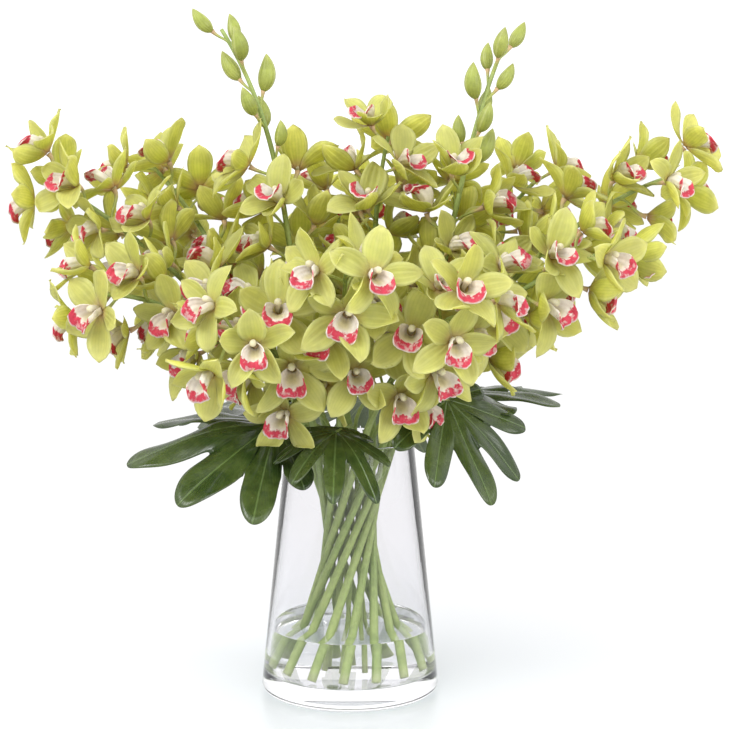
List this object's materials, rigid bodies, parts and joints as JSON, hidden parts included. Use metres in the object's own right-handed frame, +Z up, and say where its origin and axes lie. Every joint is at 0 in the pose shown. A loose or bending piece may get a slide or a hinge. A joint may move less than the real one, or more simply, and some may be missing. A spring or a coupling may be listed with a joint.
{
  "type": "orchid bouquet",
  "caption": "Upright bouquet of green cymbidium orchid spikes, some still in bud, with lobed dark leaves, spiralled in a tapered clear glass vase holding a little water.",
  "frame": {"origin": "centre of the underside of the vase, which stands on the surface z = 0", "axes": "+Z up; -Y is the front; +X is to the right as seen from the front"},
  "size_m": [0.6843, 0.4493, 0.6739],
  "materials": {
    "petal": "satin, lime green, a little translucent",
    "lip": "satin, cream with crimson blotches",
    "bud": "satin green",
    "stem": "smooth matt green",
    "leaf": "semi-gloss dark green",
    "glass": "clear polished",
    "water": "clear"
  },
  "bodies": {
    "root": {"flowers_front_right": "petal", "flowers_lower_right": "petal", "flowers_far_right": "petal", "flowers_right_budding": "petal", "flowers_back_right": "petal", "flowers_centre": "petal", "flowers_back": "petal", "flowers_back_left": "petal", "flowers_left_budding": "petal", "flowers_far_left": "petal", "flowers_lower_left": "petal", "flowers_front_left": "petal", "flowers_front": "petal", "stem_front_right": "stem", "stem_lower_right": "stem", "stem_far_right": "stem", "stem_right_budding": "stem", "stem_back_right": "stem", "stem_centre": "stem", "stem_back": "stem", "stem_back_left": "stem", "stem_left_budding": "stem", "stem_far_left": "stem", "stem_lower_left": "stem", "stem_front_left": "stem", "stem_front": "stem", "leaf_left": "leaf", "leaf_front": "leaf", "leaf_right": "leaf", "leaf_back_right": "leaf", "leaf_back": "leaf", "leaf_back_left": "leaf", "petiole_left": "stem", "petiole_front": "stem", "petiole_right": "stem", "petiole_back_right": "stem", "petiole_back": "stem", "petiole_back_left": "stem", "vase": "glass", "water": "water"}
  },
  "joints": []
}
